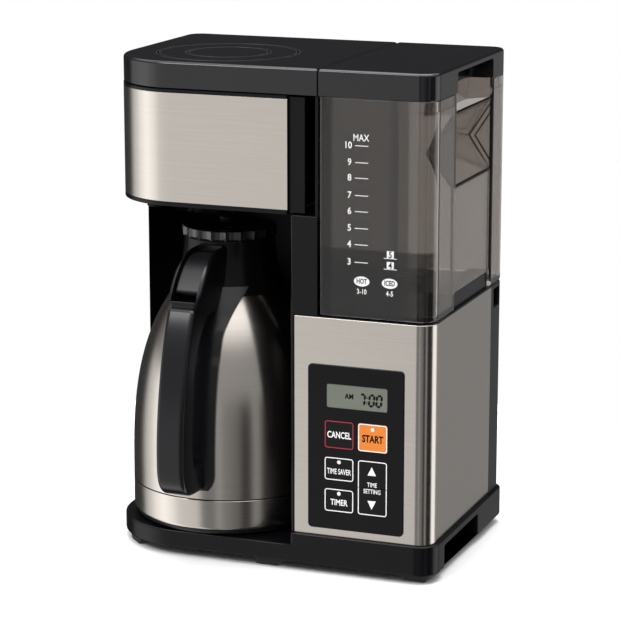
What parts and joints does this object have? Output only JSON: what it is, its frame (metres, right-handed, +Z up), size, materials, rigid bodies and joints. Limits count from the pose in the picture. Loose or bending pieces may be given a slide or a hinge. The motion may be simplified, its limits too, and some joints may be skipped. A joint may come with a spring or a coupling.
{
  "type": "drip coffee maker",
  "caption": "Filter coffee machine with a swing-out filter basket, a lift-off water tank with a hinged lid, a control panel with a display and a vacuum carafe with a handle.",
  "frame": {"origin": "middle of the footprint's bounding rectangle, carafe grip included, at the surface it stands on", "axes": "+Z up, the front with the carafe grip faces -Y, the water tank is on +X"},
  "size_m": [0.27, 0.226, 0.378],
  "materials": {
    "black_plastic": "gloss, moulded",
    "dark_plastic": "satin, moulded",
    "brushed_steel": "finely brushed across the width, satin",
    "inner_steel": "drawn, satin",
    "tank_plastic": "smoky clear, polished",
    "panel_black": "semi-gloss printed panel",
    "lcd_lens": "clear window over a grey-green display",
    "lcd_grey": "display glass",
    "orange_plastic": "satin key",
    "key_black": "satin key with a printed outline",
    "rubber": "matt",
    "silicone": "translucent silicone",
    "red_silicone": "matt silicone",
    "circuit_board": "solder-masked board",
    "heater_metal": "cast and drawn",
    "bracket_metal": "zinc-plated sheet",
    "bright_steel": "plated wire and pins",
    "pale_plastic": "natural nylon"
  },
  "bodies": {
    "housing": {"base_tray": "black_plastic", "base_plate": "dark_plastic", "rubber_feet": "rubber", "lower_housing": "dark_plastic", "rear_housing": "black_plastic", "rear_cover": "dark_plastic", "finger_wall": "black_plastic", "front_column": "black_plastic", "tank_deck": "black_plastic", "steel_wrap": "brushed_steel", "top_cover": "black_plastic", "shower_plate": "dark_plastic", "shower_head": "dark_plastic", "control_bezel": "panel_black", "lcd_window": "lcd_lens", "lcd_module": "lcd_grey", "key_membrane": "silicone", "control_board": "circuit_board", "power_board": "circuit_board", "preheater": "heater_metal", "main_heater": "heater_metal", "heater_brackets": "bracket_metal", "thermal_fuses": "pale_plastic", "water_hoses": "silicone", "check_valve": "pale_plastic", "tank_seat": "dark_plastic", "hinge_pin": "bright_steel", "cord_gland": "dark_plastic", "screws": "bright_steel"},
    "swing_basket": {"door_shell": "black_plastic", "door_panel": "brushed_steel", "basket_holder": "black_plastic", "filter_basket": "dark_plastic", "drip_spring": "bright_steel"},
    "drip_stop": {"drip_valve": "red_silicone"},
    "water_tank": {"water_tank": "tank_plastic", "tank_filter": "pale_plastic", "lid_hinge_pins": "bright_steel", "tank_valve_spring": "bright_steel"},
    "tank_poppet": {"tank_valve": "red_silicone"},
    "tank_lid": {"tank_lid": "black_plastic"},
    "carafe": {"carafe_shell": "brushed_steel", "carafe_liner": "inner_steel", "carafe_base": "dark_plastic", "carafe_collar": "black_plastic", "carafe_handle": "black_plastic", "lever_pin": "bright_steel"},
    "carafe_lid": {"carafe_lid": "black_plastic", "lid_seal": "silicone"},
    "pour_valve": {"pour_valve": "dark_plastic"},
    "thumb_lever": {"thumb_lever": "dark_plastic"},
    "key_start": {"key_start": "orange_plastic"},
    "key_cancel": {"key_cancel": "key_black"},
    "key_saver": {"key_saver": "key_black"},
    "key_timer": {"key_timer": "key_black"},
    "key_up": {"key_up": "key_black"},
    "key_down": {"key_down": "key_black"}
  },
  "joints": [
    {"name": "basket_swing", "type": "hinge", "parent": "housing", "child": "swing_basket", "pos_m": [-0.123, 0.0235, 0.3], "axis": [0, 0, -1], "range_deg": [0, 95]},
    {"name": "drip_stop_lift", "type": "slide", "parent": "swing_basket", "child": "drip_stop", "axis": [0, 0, 1], "range_m": [0, 0.003], "stiffness_N_per_m": 60, "springref_m": -0.002, "deforming": ["drip_spring"]},
    {"name": "tank_lift", "type": "slide", "parent": "housing", "child": "water_tank", "axis": [0, 0, 1], "range_m": [0, 0.2]},
    {"name": "tank_poppet_lift", "type": "slide", "parent": "water_tank", "child": "tank_poppet", "axis": [0, 0, 1], "range_m": [0, 0.003], "stiffness_N_per_m": 60, "springref_m": -0.002, "deforming": ["tank_valve_spring"]},
    {"name": "tank_lid_hinge", "type": "hinge", "parent": "water_tank", "child": "tank_lid", "pos_m": [0.088, 0.107, 0.3644], "axis": [-1, 0, 0], "range_deg": [0, 90]},
    {"name": "carafe_slide", "type": "slide", "parent": "housing", "child": "carafe", "axis": [0, -1, 0], "range_m": [0, 0.25]},
    {"name": "carafe_lid_turn", "type": "hinge", "parent": "carafe", "child": "carafe_lid", "pos_m": [-0.0552, 0.0055, 0.24], "axis": [0, 0, 1], "range_deg": [0, 60]},
    {"name": "pour_valve_lift", "type": "slide", "parent": "carafe_lid", "child": "pour_valve", "axis": [0, 0, 1], "range_m": [0, 0.003], "stiffness_N_per_m": 8, "springref_m": -0.002},
    {"name": "thumb_lever_press", "type": "hinge", "parent": "carafe", "child": "thumb_lever", "pos_m": [-0.0552, -0.0415, 0.229], "axis": [1, 0, 0], "range_deg": [0, 8], "stiffness_Nm_per_rad": 0.002, "springref_deg": -14.32},
    {"name": "key_start_press", "type": "slide", "parent": "housing", "child": "key_start", "axis": [0, 1, 0], "range_m": [0, 0.0006], "stiffness_N_per_m": 300, "springref_m": -0.0005},
    {"name": "key_cancel_press", "type": "slide", "parent": "housing", "child": "key_cancel", "axis": [0, 1, 0], "range_m": [0, 0.0006], "stiffness_N_per_m": 300, "springref_m": -0.0005},
    {"name": "key_saver_press", "type": "slide", "parent": "housing", "child": "key_saver", "axis": [0, 1, 0], "range_m": [0, 0.0006], "stiffness_N_per_m": 300, "springref_m": -0.0005},
    {"name": "key_timer_press", "type": "slide", "parent": "housing", "child": "key_timer", "axis": [0, 1, 0], "range_m": [0, 0.0006], "stiffness_N_per_m": 300, "springref_m": -0.0005},
    {"name": "key_up_press", "type": "slide", "parent": "housing", "child": "key_up", "axis": [0, 1, 0], "range_m": [0, 0.0006], "stiffness_N_per_m": 300, "springref_m": -0.0005},
    {"name": "key_down_press", "type": "slide", "parent": "housing", "child": "key_down", "axis": [0, 1, 0], "range_m": [0, 0.0006], "stiffness_N_per_m": 300, "springref_m": -0.0005}
  ],
  "couplings": [
    {"joint": "thumb_lever_press", "follows": "pour_valve_lift", "rad_per_m": 46.54}
  ]
}
